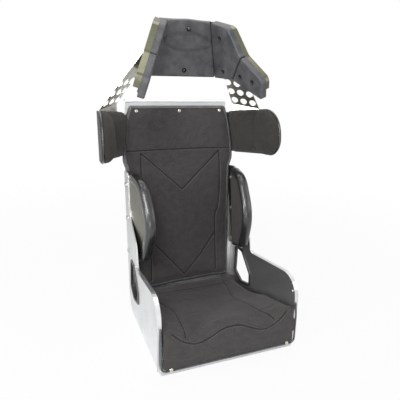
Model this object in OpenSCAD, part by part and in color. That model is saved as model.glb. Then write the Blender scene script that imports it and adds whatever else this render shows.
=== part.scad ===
/* [Shell] */
// Inside width between the side panels at the back
hip_w = 381; // [330:1:460]
// How much wider the seat is at its front edge
front_flare = 24; // [0:1:60]
// Depth from the back line to the front wall
seat_depth = 386; // [340:1:440]
// Length of the back panel, measured up its slope
back_len = 702; // [660:1:780]
// Lean of the back from upright, in degrees
back_lean = 7; // [4:0.5:12]
// Radius between the floor and the back
rear_r = 66; // [50:1:78]
// Height of the front wall under the thighs
thigh_h = 88; // [60:1:100]
// Height of the side panels near their front
side_h = 217; // [190:1:240]
// Width of the rolled rim along the side panels
rim_w = 12; // [6:1:18]

/* [Sheet metal] */
// Thickness of the aluminium sheet
sheet_t = 3.2; // [2:0.1:5]
// Diameter of the four floor mounting holes
mount_d = 10.3; // [8:0.1:13]
// Spacing of the mounting holes across the seat
mount_x = 254; // [150:1:290]
// Spacing of the mounting holes front to back
mount_y = 101.6; // [60:0.1:110]
// Diameter of the bolts that hold supports and brackets
bolt_d = 8; // [5:0.5:10]

/* [Supports] */
// Depth of the rib supports in front of the back
rib_depth = 208; // [170:1:240]
// Turn of the rib supports towards the driver, in degrees
rib_toe = 9; // [0:0.5:14]
// Thickness of the rib pad foam
rib_pad = 26; // [15:1:32]
// Half width of the shoulder supports at the wing
shoulder_half = 279; // [260:1:300]
// Depth of the shoulder supports in front of the back
shoulder_depth = 184; // [170:1:230]
// Thickness of the shoulder pad foam
shoulder_pad = 36; // [20:1:44]

/* [Head surround] */
// Height of the lower edge of the head surround
head_low = 775; // [770:1:820]
// Height of the head surround at its centre
head_h = 163; // [130:1:200]
// Angle of the side facets from the centre facet, in degrees
head_turn = 74; // [55:1:80]
// Thickness of the moulded head pads
head_pad = 22; // [15:1:28]
// Width of the stiffening flange round the head surround
head_rim = 18; // [10:1:30]
// Diameter of the lightening holes in the brackets
light_d = 25; // [15:1:28]

/* [Covers] */
// Thickness of the back pad with its cover
back_pad = 22; // [14:1:30]
// Thickness of the padded front flap of the seat cover
flap_t = 9; // [6:0.5:14]
// Thickness of cover cloth
skin = 2; // [1:0.1:3]
// Clearance round soft pieces
gap = 0.4; // [0.2:0.1:1]

/* [Hidden] */
$fn = 48;
flare_angle = atan(front_flare / 2 / seat_depth);
flap_gap = gap;
front_y = -seat_depth - sheet_t - flap_gap - flap_t;
snap_cap_t = 2.4;
top_roll = 10;
top_lip = 16;
back_top_y = back_len * sin(back_lean);
rear_y = back_top_y + (sheet_t + top_roll) * cos(back_lean) + top_lip * cos(back_lean);
mid_y = (front_y - snap_cap_t + rear_y) / 2;
belt_hex = [[-30, 186], [-72, 181], [-130, 119], [-132, 80], [-72, 67], [-26, 92]];
belt_trim_w = 5;
belt_bead = 2.5;
belt_radii = [9, 12, 14, 9, 12, 12];
rib_border = 20;
snap_s = back_len - 39;
snap_x = 147;
stud_d = 5;
cap_d = 11;
seat_snap_z = 21;
seat_snap_x = 179;
cover_half = [
    [160, 72], [164, 200], [172, 340], [182, 466],
    [196, 500], [196, 548], [185, 632], [169, back_len - 22]
];

// ---- plane geometry ----
function unit(v) = v / norm(v);
function left2(v) = [-v[1], v[0]];
function dir2(a, b) = unit(b - a);
function reversed(p) = [for (i = [len(p) - 1:-1:0]) p[i]];

// points of the arc that rounds the corner b between a and c
function corner(a, b, c, r, n = 8) =
    let(u = dir2(b, a), v = dir2(b, c), half = acos(u * v) / 2, t = r / tan(half))
    let(q = b + unit(u + v) * r / sin(half), s = b + u * t - q, e = b + v * t - q)
    let(a0 = atan2(s[1], s[0]), d0 = atan2(e[1], e[0]) - a0)
    let(d = d0 > 180 ? d0 - 360 : d0 < -180 ? d0 + 360 : d0)
    [for (i = [0:n]) q + r * [cos(a0 + d * i / n), sin(a0 + d * i / n)]];

// closed outline with each corner rounded by its own radius
function rounded(p, r) = [
    for (i = [0:len(p) - 1])
        each r[i] == 0 ? [p[i]] : corner(p[(i + len(p) - 1) % len(p)], p[i], p[(i + 1) % len(p)], r[i])
];

// open path with its inner corners rounded
function softened(p, r) = [
    for (i = [0:len(p) - 1])
        each r[i] == 0 ? [p[i]] : corner(p[i - 1], p[i], p[i + 1], r[i])
];

// the path moved d to its left, with mitred corners
function beside(p, d) = [
    for (i = [0:len(p) - 1])
        let(u = i == 0 ? dir2(p[0], p[1]) : dir2(p[i - 1], p[i]))
        let(v = i == len(p) - 1 ? u : dir2(p[i], p[i + 1]))
        p[i] + d * (left2(u) + left2(v)) / (1 + u * v)
];

// the closed outline moved d to its left
function inset(p, d) = [
    for (i = [0:len(p) - 1])
        let(u = dir2(p[(i + len(p) - 1) % len(p)], p[i]), v = dir2(p[i], p[(i + 1) % len(p)]))
        p[i] + d * (left2(u) + left2(v)) / (1 + u * v)
];
function band(p, a, b) = concat(beside(p, a), reversed(beside(p, b)));

// from the back's own frame (depth behind its face, length up it) to the seat's y and z
function leaned(y, s) = [y * cos(back_lean) + s * sin(back_lean), s * cos(back_lean) - y * sin(back_lean)];

// ---- placing ----
// extrudes an outline drawn in y and z across the seat, from x = at
module across(w, at = 0) {
    translate([at, 0, 0]) rotate([90, 0, 90]) linear_extrude(w) children();
}

// extrudes an outline drawn in x and s backwards, from the back's face + at
module rearward(w, at = 0) {
    translate([0, at + w, 0]) rotate([90, 0, 0]) linear_extrude(w) children();
}
module on_back() {
    rotate([-back_lean, 0, 0]) children();
}
module at_side() {
    translate([hip_w / 2, 0, 0]) rotate([0, 0, flare_angle]) children();
}

// an outline in the plane through o with axes e1 and e2, from t0 to t1 along their normal
module in_plane(o, e1, e2, t0, t1) {
    n = cross(e1, e2);
    multmatrix([
        [e1[0], e2[0], n[0], o[0]],
        [e1[1], e2[1], n[1], o[1]],
        [e1[2], e2[2], n[2], o[2]],
        [0, 0, 0, 1]
    ])
        translate([0, 0, t0]) linear_extrude(t1 - t0) children();
}
// a round peg or hole along +y
module back_peg(d, l) {
    rotate([-90, 0, 0]) cylinder(d = d, h = l);
}

// a round peg or hole along +x
module out_peg(d, l) {
    rotate([0, 90, 0]) cylinder(d = d, h = l);
}
module seated() {
    translate([0, -mid_y, 0]) children();
}
module other_side() {
    mirror([1, 0, 0]) children();
}
module both_sides() {
    children();
    other_side() children();
}

// the room between the side panels, less a clearance on each side
module between_sides(clear = 0) {
    y0 = -seat_depth - 60;
    y1 = 200;
    function half_at(y) = hip_w / 2 - clear - y * tan(flare_angle);
    translate([0, 0, -50])
        linear_extrude(back_len + 200)
            polygon([[-half_at(y0), y0], [half_at(y0), y0], [half_at(y1), y1], [-half_at(y1), y1]]);
}

// a bolt along +z with its head's seat at z = 0 and its shank below
module bolt(d, grip) {
    rotate([180, 0, 0]) cylinder(d = d, h = grip);
    cylinder(d = d * 2.3, h = 1.2);
    cylinder(d = d * 1.6, h = 1.2 + d * 0.6, $fn = 6);
}

// a bolt with a low button head, long enough for two sheets and a nut
module low_bolt() {
    cylinder(d = bolt_d * 1.9, h = low_head_h);
    translate([0, 0, -2 * sheet_t - bolt_d]) cylinder(d = bolt_d, h = 2 * sheet_t + bolt_d);
}
module nut(d) {
    difference() {
        cylinder(d = d * 1.75, h = d * 0.75, $fn = 6);
        translate([0, 0, -1]) cylinder(d = d + 0.2, h = d + 2);
    }
}

// ---- floor pan and back ----
floor_front = -215;
pan_end_s = 118;
function pan_line(wall_foot) = softened(
    [
        [-seat_depth, wall_foot],
        [-seat_depth, thigh_h],
        [floor_front, 0],
        [sheet_t / cos(back_lean), 0],
        leaned(sheet_t, pan_end_s)
    ],
    [0, 16, 60, rear_r + sheet_t, 0]
);
function mounts() = [
    for (x = [-1, 1], y = [0, 1]) [x * mount_x / 2, floor_front + 14 + y * mount_y]
];

module seat_pan() {
    color("gainsboro")
        seated()
            difference() {
                intersection() {
                    across(700, -350) polygon(band(pan_line(0), 0, sheet_t));
                    between_sides();
                }
                for (m = mounts()) translate([m[0], m[1], -1]) cylinder(d = mount_d, h = sheet_t + 2);
                for (x = [-1, 1])
                    translate([x * seat_snap_x, -seat_depth - sheet_t - 1, seat_snap_z])
                        back_peg(stud_d + 0.4, sheet_t + 2);
            }
}

back_outline = rounded(
    [
        [-hip_w / 2 - 1, pan_end_s],
        [hip_w / 2 + 1, pan_end_s],
        [hip_w / 2 + 1, 570],
        [hip_w / 2 - 13, back_len - 6],
        [hip_w / 2 - 13, back_len + 60],
        [-hip_w / 2 + 13, back_len + 60],
        [-hip_w / 2 + 13, back_len - 6],
        [-hip_w / 2 - 1, 570]
    ],
    [0, 0, 60, 0, 0, 0, 0, 60]
);
function back_line() = softened(
    [
        [0, pan_end_s],
        [0, back_len],
        [top_roll + top_lip + sheet_t, back_len]
    ],
    [0, top_roll + sheet_t, 0]
);

module back_panel() {
    color("gainsboro")
        seated()
            difference() {
                intersection() {
                    on_back() intersection() {
                        across(700, -350) polygon(band(back_line(), 0, -sheet_t));
                        rearward(90, -10) polygon(back_outline);
                    }
                    between_sides();
                }
                on_back()
                    for (x = [-1, 0, 1]) translate([x * snap_x, -1, snap_s]) back_peg(stud_d + 0.4, sheet_t + 2);
                on_back() both_sides()
                    for (s = shoulder_bolt_s)
                        translate([shoulder_bolt_x, -1, s]) back_peg(bolt_d + 0.4, sheet_t + 2);
            }
}

// ---- side panels ----
strip_w = 54;
strip_top = 470;
side_profile = rounded(
    [
        [-seat_depth - sheet_t, 0],
        [-seat_depth - sheet_t, side_h + 5],
        [-126, side_h - 19],
        [-112, side_h + 50],
        leaned(-strip_w, 330),
        leaned(-strip_w, strip_top),
        leaned(sheet_t, strip_top),
        [sheet_t / cos(back_lean), 0]
    ],
    [14, 62, 16, 60, 80, 20, 4, rear_r + sheet_t]
);
function rib_bolt_spots() = [for (s = [208, 318, 428]) leaned(-27, s)];

module side_sheet() {
    difference() {
        across(sheet_t) polygon(side_profile);
        across(sheet_t + 2, -1) polygon(rounded(belt_hex, belt_radii));
        for (b = rib_bolt_spots()) translate([-1, b[0], b[1]]) out_peg(bolt_d + 0.4, sheet_t + 2);
        for (r = rivet_spots) translate([-1, r[0], r[1]]) out_peg(rivet_d + 0.4, sheet_t + 2);
    }
    // rolled rim along the top and the front edge
    intersection() {
        across(rim_w, 0) difference() {
            polygon(side_profile);
            polygon(inset(side_profile, -sheet_t));
        }
        across(rim_w + 2, -1) translate([-seat_depth - 20, 16]) square([seat_depth - 106, side_h + 14]);
    }
}
module side_panel_right() {
    color("whitesmoke") seated() at_side() side_sheet();
}
module side_panel_left() {
    color("whitesmoke") seated() other_side() at_side() side_sheet();
}

rivet_d = 4.8;
rivet_spots = [[-seat_depth + 10, 104], [-seat_depth + 14, 172]];
module rivet_pair() {
    for (r = rivet_spots) translate([-1.6, r[0], r[1]]) rotate([0, 90, 0]) {
        cylinder(d = rivet_d * 2, h = 1.6);
        cylinder(d = rivet_d, h = 1.6 + sheet_t);
        translate([0, 0, 1.6 + sheet_t]) cylinder(d = rivet_d * 1.6, h = 2);
    }
}
module side_panel_rivets() {
    color("silver") seated() both_sides() at_side() rivet_pair();
}

module belt_trim() {
    hole = rounded(belt_hex, belt_radii);
    difference() {
        across(sheet_t + 2 * belt_bead, -belt_bead) difference() {
            polygon(inset(hole, -belt_trim_w));
            polygon(inset(hole, belt_bead));
        }
        across(sheet_t + 0.2, -0.1) difference() {
            polygon(inset(hole, -belt_trim_w - 1));
            polygon(inset(hole, 0.1));
        }
    }
}
module belt_trim_right() {
    color("black") seated() at_side() belt_trim();
}
module belt_trim_left() {
    color("black") seated() other_side() at_side() belt_trim();
}

// ---- rib supports ----
// plan of the plate, along the panel and then turned towards the driver
rib_bend = 60;
rib_swing = (rib_depth - rib_bend) * tan(rib_toe);
rib_plan = [[0, 0], [0, -rib_bend], [-rib_swing, -rib_depth]];
function rib_outline(grow) = inset(
    rounded(
        [
            [2, 186], [-rib_depth + 58, 206], [-rib_depth, 322],
            [-rib_depth + 60, 440], [-34, 470], [2, 470]
        ],
        [4, 30, 110, 80, 40, 4]
    ),
    grow
);
// the turned part of the plan, a little longer than the plate
function rib_front() = [for (k = [0.02, 1.06]) rib_plan[1] + k * (rib_plan[2] - rib_plan[1])];

module rib_sheet() {
    difference() {
        on_back() intersection() {
            linear_extrude(600) polygon(band(rib_plan, -sheet_t, 0));
            across(120, -100) polygon(rib_outline(0));
        }
        for (b = rib_bolt_spots()) translate([-sheet_t - 1, b[0], b[1]]) out_peg(bolt_d + 0.4, sheet_t + 2);
    }
}
module rib_block(inner, outer, grow) {
    on_back() intersection() {
        linear_extrude(600) polygon(band(rib_front(), inner, outer));
        across(160, -120) polygon(rib_outline(grow));
    }
}
module rib_foam() {
    rib_block(-sheet_t - rib_pad, -sheet_t, -1);
}

// a slip cover; its outer face is open, so the plate stays bare inside a border
module rib_cover() {
    difference() {
        rib_block(-sheet_t - rib_pad - skin, gap + skin, 1.5 + skin);
        rib_block(-sheet_t - rib_pad, gap, 1.5);
        rib_block(gap / 2, 20, -rib_border);
        across(20.3, -0.3) polygon(inset(side_profile, -1.5));
    }
}
module rib_support_right() {
    color("darkgray") seated() at_side() rib_sheet();
}
module rib_support_left() {
    color("darkgray") seated() other_side() at_side() rib_sheet();
}
module rib_foam_right() {
    color("khaki") seated() at_side() rib_foam();
}
module rib_foam_left() {
    color("khaki") seated() other_side() at_side() rib_foam();
}
module rib_cover_right() {
    color("dimgray") seated() at_side() rib_cover();
}
module rib_cover_left() {
    color("dimgray") seated() other_side() at_side() rib_cover();
}
module rib_bolts() {
    color("silver")
        seated() both_sides() at_side()
            for (b = rib_bolt_spots())
                translate([sheet_t, b[0], b[1]]) rotate([0, 90, 0]) bolt(bolt_d, 2 * sheet_t + bolt_d);
}
module rib_nuts() {
    color("silver")
        seated() both_sides() at_side()
            for (b = rib_bolt_spots()) translate([-sheet_t, b[0], b[1]]) rotate([0, -90, 0]) nut(bolt_d);
}

// ---- shoulder supports ----
shoulder_low = 507;
low_head_h = 0.35 * bolt_d;
foot_off = 1.5 * sheet_t + 0.1;
shoulder_high = 662;
shoulder_foot = 146;
shoulder_bolt_x = 158;
shoulder_bolt_s = [560, 622];
shoulder_plan = [
    [shoulder_foot, sheet_t],
    [hip_w / 2 + 8, sheet_t],
    [shoulder_half, 15 - shoulder_depth / 2],
    [shoulder_half + 8, -shoulder_depth]
];
function shoulder_outline(grow) = inset(
    rounded(
        [
            [24, shoulder_low + 16], [-shoulder_depth, shoulder_low - 4],
            [-shoulder_depth, shoulder_high], [24, shoulder_high]
        ],
        [0, 55, 84, 0]
    ),
    grow
);
function cover_side(clear) = concat(
    [for (p = cover_half) [p[0] + clear, p[1]]],
    [[cover_half[7][0] + clear, back_len + 40], [0, back_len + 40], [0, cover_half[0][1]]]
);
wing_plan = [
    for (k = [0.05, 1.04]) shoulder_plan[2] + k * (shoulder_plan[3] - shoulder_plan[2])
];
long_plan = concat([for (i = [0:2]) shoulder_plan[i]], [wing_plan[1]]);
module shoulder_block(path, inner, outer, grow) {
    intersection() {
        linear_extrude(800) polygon(band(path, outer, inner));
        across(300, 100) polygon(shoulder_outline(grow));
    }
}
module shoulder_long(grow) {
    shoulder_block(long_plan, -shoulder_pad - grow, 0, grow - 2);
}

// keeps the shoulder pad clear of the back panel and of the back pad
module shoulder_room(clear) {
    rearward(80, -60) polygon(cover_side(clear));
    rearward(sheet_t + gap + 0.8, -0.8) polygon(inset(back_outline, -clear));
}
module shoulder_sheet() {
    difference() {
        shoulder_block(shoulder_plan, 0, sheet_t, -4);
        for (s = shoulder_bolt_s) translate([shoulder_bolt_x, 0, s]) back_peg(bolt_d + 0.4, 4 * sheet_t);
        at_foot_holes() cylinder(d = bolt_d + 0.4, h = 6 * sheet_t, center = true);
    }
}
module shoulder_foam() {
    difference() {
        shoulder_long(0);
        shoulder_room(skin + 1);
        at_foot_holes() translate([0, 0, foot_off - 1]) cylinder(d = bolt_d * 1.9 + 2, h = low_head_h + 3);
    }
}
module shoulder_cover() {
    difference() {
        union() {
            shoulder_long(skin);
            shoulder_block(wing_plan, -1, sheet_t + gap + skin, skin);
        }
        shoulder_long(0);
        shoulder_block(long_plan, -0.01, sheet_t + gap, -2);
        shoulder_room(1);
    }
}
module shoulder_plate_right() {
    color("darkgray") seated() on_back() shoulder_sheet();
}
module shoulder_plate_left() {
    color("darkgray") seated() other_side() on_back() shoulder_sheet();
}
module shoulder_foam_right() {
    color("khaki") seated() on_back() shoulder_foam();
}
module shoulder_foam_left() {
    color("khaki") seated() other_side() on_back() shoulder_foam();
}
module shoulder_cover_right() {
    color("dimgray") seated() on_back() shoulder_cover();
}
module shoulder_cover_left() {
    color("dimgray") seated() other_side() on_back() shoulder_cover();
}
module shoulder_bolts() {
    color("silver")
        seated() on_back() both_sides()
            for (s = shoulder_bolt_s) translate([shoulder_bolt_x, 0, s]) rotate([90, 0, 0]) low_bolt();
}
module shoulder_nuts() {
    color("silver")
        seated() on_back() both_sides()
            for (s = shoulder_bolt_s)
                translate([shoulder_bolt_x, 2 * sheet_t, s]) rotate([-90, 0, 0]) nut(bolt_d);
}

// ---- head surround ----
head_forward = 40;
head_tilt = 15.7;
bend_low_half = 124;
bend_high_half = 84;
head_reach = 226;
low_bend = [bend_low_half, back_top_y - head_forward, head_low];
high_bend = [bend_high_half, low_bend[1] - head_h * tan(head_tilt), head_low + head_h];
side_u = [cos(head_turn), -sin(head_turn), 0];
bend_line = high_bend - low_bend;
side_v = unit(bend_line - (bend_line * side_u) * side_u);
side_n = cross(side_u, side_v);
bend_top = [bend_line * side_u, bend_line * side_v];
centre_o = [0, low_bend[1], head_low];
centre_v = unit([0, high_bend[1] - low_bend[1], head_h]);
centre_n = cross([1, 0, 0], centre_v);
centre_h = norm([0, high_bend[1] - low_bend[1], head_h]);

function side_plate(grow = 0) = inset(
    rounded(
        [
            [0, 0],
            [100, -6],
            [head_reach - 14, -58],
            [head_reach, -6],
            [head_reach - 72, 62],
            [head_reach - 108, bend_top[1] - 22],
            bend_top
        ],
        [0, 60, 20, 26, 34, 28, 0]
    ),
    grow
);
side_rim_line = softened(
    [
        bend_top,
        [head_reach - 108, bend_top[1] - 22],
        [head_reach - 72, 62],
        [head_reach, -6],
        [head_reach - 9, -38]
    ],
    [0, 28, 34, 26, 0]
);
centre_plate = [
    [-bend_low_half, 0], [bend_low_half, 0], [bend_high_half, centre_h], [-bend_high_half, centre_h]
];
module on_side(t0, t1) {
    in_plane(low_bend, side_u, side_v, t0, t1) children();
}
module on_centre(t0, t1) {
    in_plane(centre_o, [1, 0, 0], centre_v, t0, t1) children();
}

// screws that hold the pads: centre, side and wing
centre_screws = [[0, 22], [0, centre_h - 20]];
side_screws = [[78, bend_top[1] - 47], [64, 21]];
wing_screws = [[head_reach - 87, 6], [head_reach - 37, -10]];
screw_d = 5;
recess_d = 12;
recess_h = 12;

// places children at each screw with +z into the cabin, from the plane of the plates
module at_centre_screws() {
    for (p = centre_screws) at_spot(centre_o, [1, 0, 0], centre_v, p) children();
}
module at_side_screws(spots) {
    for (p = spots) at_spot(low_bend, side_u, side_v, p) children();
}
module at_spot(o, e1, e2, p) {
    n = cross(e1, e2);
    q = o + p[0] * e1 + p[1] * e2;
    multmatrix([
        [e1[0], e2[0], n[0], q[0]],
        [e1[1], e2[1], n[1], q[1]],
        [e1[2], e2[2], n[2], q[2]],
        [0, 0, 0, 1]
    ])
        children();
}
module screw_hole(d = screw_d) {
    translate([0, 0, -sheet_t - 1]) cylinder(d = d + 0.4, h = sheet_t + 2);
}
module side_shell() {
    difference() {
        on_side(-sheet_t, 0) polygon(side_plate());
        at_side_screws(concat(side_screws, wing_screws)) screw_hole();
        at_side_screws(bracket_high_spots()) screw_hole(bolt_d);
    }
    on_side(-head_rim, 0) polygon(band(side_rim_line, 0, -sheet_t));
    bend_rod(low_bend, high_bend, 2 * sheet_t - 0.5, 0.6);
}

module head_shell() {
    color("darkgray")
        seated() {
            difference() {
                union() {
                    on_centre(-sheet_t, 0) polygon(centre_plate);
                    on_centre(-head_rim, 0)
                        translate([-bend_high_half, centre_h - sheet_t]) square([2 * bend_high_half, sheet_t]);
                }
                at_centre_screws() screw_hole();
            }
            both_sides() side_shell();
        }
}

// ---- head pads ----
mitre = head_pad / tan((180 - head_turn) / 2) + 0.3;
pad_split = [[head_reach - 71, 64], [99, -5]];
module pad_recess() {
    translate([0, 0, head_pad - recess_h]) cylinder(d = recess_d, h = recess_h + 1);
    cylinder(d = screw_d + 0.4, h = head_pad + 1);
}
module pad_shape_centre() {
    polygon([
        [-bend_low_half + mitre, 1],
        [bend_low_half - mitre, 1],
        [bend_high_half - mitre, centre_h - sheet_t - 1],
        [-bend_high_half + mitre, centre_h - sheet_t - 1]
    ]);
}
module pad_area() {
    difference() {
        polygon(side_plate(1));
        translate([0, -60])
            polygon([[-60, 0], [mitre - 8, 0], [mitre, 60], bend_top + [mitre, 70], [-60, 400]]);
    }
}
module split_half(side) {
    d = dir2(pad_split[0], pad_split[1]);
    n = left2(d) * side;
    a = pad_split[0] - 200 * d + n * 0.6;
    b = pad_split[1] + 200 * d + n * 0.6;
    polygon([a, b, b + 400 * n, a + 400 * n]);
}
module pocket() {
    translate([0, 0, -1]) cylinder(d = bolt_d * 1.9 + 2, h = low_head_h + 3);
}
module side_pad() {
    difference() {
        on_side(0, head_pad) intersection() {
            pad_area();
            split_half(-1);
        }
        at_side_screws(side_screws) pad_recess();
        at_side_screws(bracket_high_spots()) pocket();
    }
}
module wing_pad() {
    difference() {
        on_side(0, head_pad) intersection() {
            pad_area();
            split_half(1);
        }
        at_side_screws(wing_screws) pad_recess();
        at_side_screws(bracket_high_spots()) pocket();
    }
}
module head_pad_centre() {
    color("dimgray")
        seated()
            difference() {
                on_centre(0, head_pad) pad_shape_centre();
                at_centre_screws() pad_recess();
            }
}
module head_pad_side_right() {
    color("dimgray") seated() side_pad();
}
module head_pad_side_left() {
    color("dimgray") seated() other_side() side_pad();
}
module head_pad_wing_right() {
    color("dimgray") seated() wing_pad();
}
module head_pad_wing_left() {
    color("dimgray") seated() other_side() wing_pad();
}
module pad_screw() {
    translate([0, 0, -sheet_t - 6]) cylinder(d = screw_d, h = head_pad - recess_h + sheet_t + 6);
    translate([0, 0, head_pad - recess_h]) cylinder(d = recess_d - 1.5, h = 3);
}
module pad_nut() {
    translate([0, 0, -sheet_t - 4]) difference() {
        cylinder(d = screw_d * 1.8, h = 4, $fn = 6);
        translate([0, 0, -1]) cylinder(d = screw_d + 0.2, h = 6);
    }
}
module head_pad_screws() {
    color("black") seated() {
        at_centre_screws() pad_screw();
        both_sides() at_side_screws(concat(side_screws, wing_screws)) pad_screw();
    }
}
module head_pad_nuts() {
    color("silver") seated() {
        at_centre_screws() pad_nut();
        both_sides() at_side_screws(concat(side_screws, wing_screws)) pad_nut();
    }
}

// ---- brackets between the shoulder supports and the head surround ----
// a vector in the back's own frame, turned to the seat's
function back_vec(p, s) = [p[0], leaned(p[1], s)[0], leaned(p[1], s)[1]];
facet_dir = dir2(shoulder_plan[1], shoulder_plan[2]);
facet_mid = shoulder_plan[1] + foot_off * left2(facet_dir);
low_u = back_vec(facet_dir, 0);
low_v = back_vec([0, 0], 1);
low_foot = 600;
low_a = [8, shoulder_high + 26];
low_b = [106, shoulder_high + 4];
function facet_point(p) = back_vec(facet_mid + p[0] * facet_dir, p[1]);
web_a = facet_point(low_a);
web_b = facet_point(low_b);
web_d = low_bend + 25 * side_u + 44 * side_v - 1.5 * sheet_t * side_n;
web_u = unit(web_b - web_a);
web_v = unit((web_d - web_a) - ((web_d - web_a) * web_u) * web_u);
web_n = cross(web_u, web_v);
seam_raw = unit(cross(web_n, side_n));
seam = seam_raw * side_u > 0 ? seam_raw : -seam_raw;
seam_l = 92;
web_c = web_d + seam_l * seam;
function in_web(p) = [(p - web_a) * web_u, (p - web_a) * web_v];
function in_side(p) = [(p - low_bend) * side_u, (p - low_bend) * side_v];
high_strip = 28;
function bracket_high_spots() = [for (k = [14, seam_l - 14]) in_side(web_d + k * seam) + [0, high_strip / 2 + 1]];
bracket_low_spots = [[24, low_foot + 22], [90, low_foot + 22]];
hole_step = 33;
hole_row = 38;

// a round bar along a bend, longer than the bend by extra at each end
module bend_rod(a, b, d, extra) {
    w = unit(b - a);
    q = a - extra * w;
    u = unit(cross(w, [0.3, 0.2, 1]));
    v = cross(w, u);
    multmatrix([
        [u[0], v[0], w[0], q[0]],
        [u[1], v[1], w[1], q[1]],
        [u[2], v[2], w[2], q[2]],
        [0, 0, 0, 1]
    ])
        cylinder(d = d, h = norm(b - a) + 2 * extra);
}
module bracket() {
    // foot on the shoulder plate
    difference() {
        in_plane([0, 0, 0] + facet_point([0, 0]), low_u, low_v, -sheet_t / 2, sheet_t / 2)
            polygon([low_a, low_b, [low_b[0], low_foot], [low_a[0], low_foot]]);
        for (p = bracket_low_spots) at_spot(facet_point([0, 0]), low_u, low_v, p)
            translate([0, 0, -sheet_t]) cylinder(d = bolt_d + 0.4, h = 2 * sheet_t);
    }
    // web with lightening holes
    d2 = in_web(web_d);
    c2 = in_web(web_c);
    b2 = in_web(web_b);
    rise = unit((d2 + c2) / 2 - b2 / 2);
    in_plane(web_a, web_u, web_v, -sheet_t / 2, sheet_t / 2) difference() {
        polygon([[0, 0], b2, c2, d2]);
        for (i = [-1:1], j = [0:2])
            translate(b2 / 2 + [i * hole_step, 0] + rise * (22 + j * hole_row))
                circle(d = light_d);
    }
    bend_rod(web_a, web_b, sheet_t - 0.3, -1);
    bend_rod(web_d, web_c, sheet_t - 0.3, -1);
    // strip on the head surround
    difference() {
        in_plane(low_bend, side_u, side_v, -2 * sheet_t, -sheet_t)
            polygon([
                in_side(web_d), in_side(web_c),
                in_side(web_c) + [0, high_strip], in_side(web_d) + [0, high_strip]
            ]);
        at_side_screws(bracket_high_spots())
            translate([0, 0, -3 * sheet_t]) cylinder(d = bolt_d + 0.4, h = 3 * sheet_t);
    }
}

// the bracket's bolt holes in the shoulder plate, in the back's own frame
module at_foot_holes() {
    for (p = bracket_low_spots) {
        q = facet_mid + p[0] * facet_dir;
        translate([q[0], q[1], p[1]])
            rotate([0, 0, atan2(facet_dir[1], facet_dir[0])]) rotate([90, 0, 0]) children();
    }
}
module head_bracket_right() {
    color("silver") seated() bracket();
}
module head_bracket_left() {
    color("silver") seated() other_side() bracket();
}
module low_bolt_place() {
    for (p = bracket_low_spots) at_spot(facet_point([0, 0]), low_u, low_v, p) children();
}
module bracket_bolts() {
    color("silver")
        seated() both_sides() {
            low_bolt_place() translate([0, 0, foot_off]) low_bolt();
            at_side_screws(bracket_high_spots()) low_bolt();
        }
}
module bracket_nuts() {
    color("silver")
        seated() both_sides() {
            low_bolt_place() translate([0, 0, -0.5 * sheet_t]) rotate([180, 0, 0]) nut(bolt_d);
            at_side_screws(bracket_high_spots())
                translate([0, 0, -2 * sheet_t]) rotate([180, 0, 0]) nut(bolt_d);
        }
}

// ---- back pad ----
function back_pad_shape(grow) = inset(
    rounded(
        concat(
            cover_half,
            [for (i = [7:-1:0]) [-cover_half[i][0], cover_half[i][1]]]
        ),
        [16, 0, 0, 40, 30, 60, 80, 8, 8, 80, 60, 30, 40, 0, 0, 16]
    ),
    -grow
);
module back_block(grow, y0, y1) {
    rearward(y1 - y0, y0) polygon(back_pad_shape(grow));
}
module stud_holes(d) {
    for (x = [-1, 0, 1]) translate([x * snap_x, -back_pad - 5, snap_s]) back_peg(d, back_pad + 10);
}
module shoulder_head_pockets() {
    both_sides()
        for (s = shoulder_bolt_s) translate([shoulder_bolt_x, -bolt_d, s]) back_peg(bolt_d * 2.5, bolt_d + 1);
}
module back_foam() {
    color("khaki") seated() on_back() difference() {
        back_block(-skin, -back_pad + skin, -gap - skin);
        stud_holes(stud_d + 1);
        shoulder_head_pockets();
    }
}
module back_cover() {
    color("dimgray") seated() on_back() difference() {
        back_block(0, -back_pad, -gap);
        back_block(-skin, -back_pad + skin, -gap - skin);
        stud_holes(stud_d + 1);
        shoulder_head_pockets();
    }
}
module back_snap_studs() {
    color("silver") seated() on_back()
        for (x = [-1, 0, 1]) translate([x * snap_x, 0, snap_s]) rotate([-90, 0, 0]) {
            translate([0, 0, -back_pad]) cylinder(d = stud_d, h = back_pad + sheet_t);
            translate([0, 0, sheet_t]) cylinder(d = stud_d * 1.8, h = 1.5);
        }
}
module back_snap_caps() {
    color("silver") seated() on_back()
        for (x = [-1, 0, 1])
            translate([x * snap_x, -back_pad - snap_cap_t, snap_s]) back_peg(cap_d, snap_cap_t);
}

// ---- seat cushion ----
seat_end_s = 62;
function seat_low_line() = [
    for (p = pan_line(15))
        if (p[1] < seat_end_s + 1 || p[0] < -100) p
];
seat_rise = 131;
function seat_section(grow) = inset(
    concat(
        beside(seat_low_line(), sheet_t + flap_gap),
        rounded_top()
    ),
    -grow
);
function rounded_top() = [
    [-22, 60],
    [-75, 55],
    [-151, 67],
    [-260, 98],
    [-340, 122],
    each corner([-340, 122], [front_y, seat_rise + 2], [front_y, 60], 14),
    [front_y, 15]
];
module seat_block(grow) {
    intersection() {
        across(700, -350) polygon(seat_section(grow));
        between_sides(2.4 - grow);
    }
}
module seat_stud_holes() {
    for (x = [-1, 1])
        translate([x * seat_snap_x, front_y - 5, seat_snap_z]) back_peg(stud_d + 1, flap_t + 6);
}
module seat_foam() {
    color("khaki") seated() difference() {
        seat_block(-skin);
        seat_stud_holes();
    }
}
module seat_cover() {
    color("dimgray") seated() difference() {
        seat_block(0);
        seat_block(-skin);
        seat_stud_holes();
    }
}
module seat_snap_studs() {
    color("silver") seated()
        for (x = [-1, 1]) translate([x * seat_snap_x, front_y, seat_snap_z]) rotate([-90, 0, 0]) {
            cylinder(d = stud_d, h = flap_t + flap_gap + sheet_t);
            translate([0, 0, flap_t + flap_gap + sheet_t]) cylinder(d = stud_d * 1.8, h = 1.5);
        }
}
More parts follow.
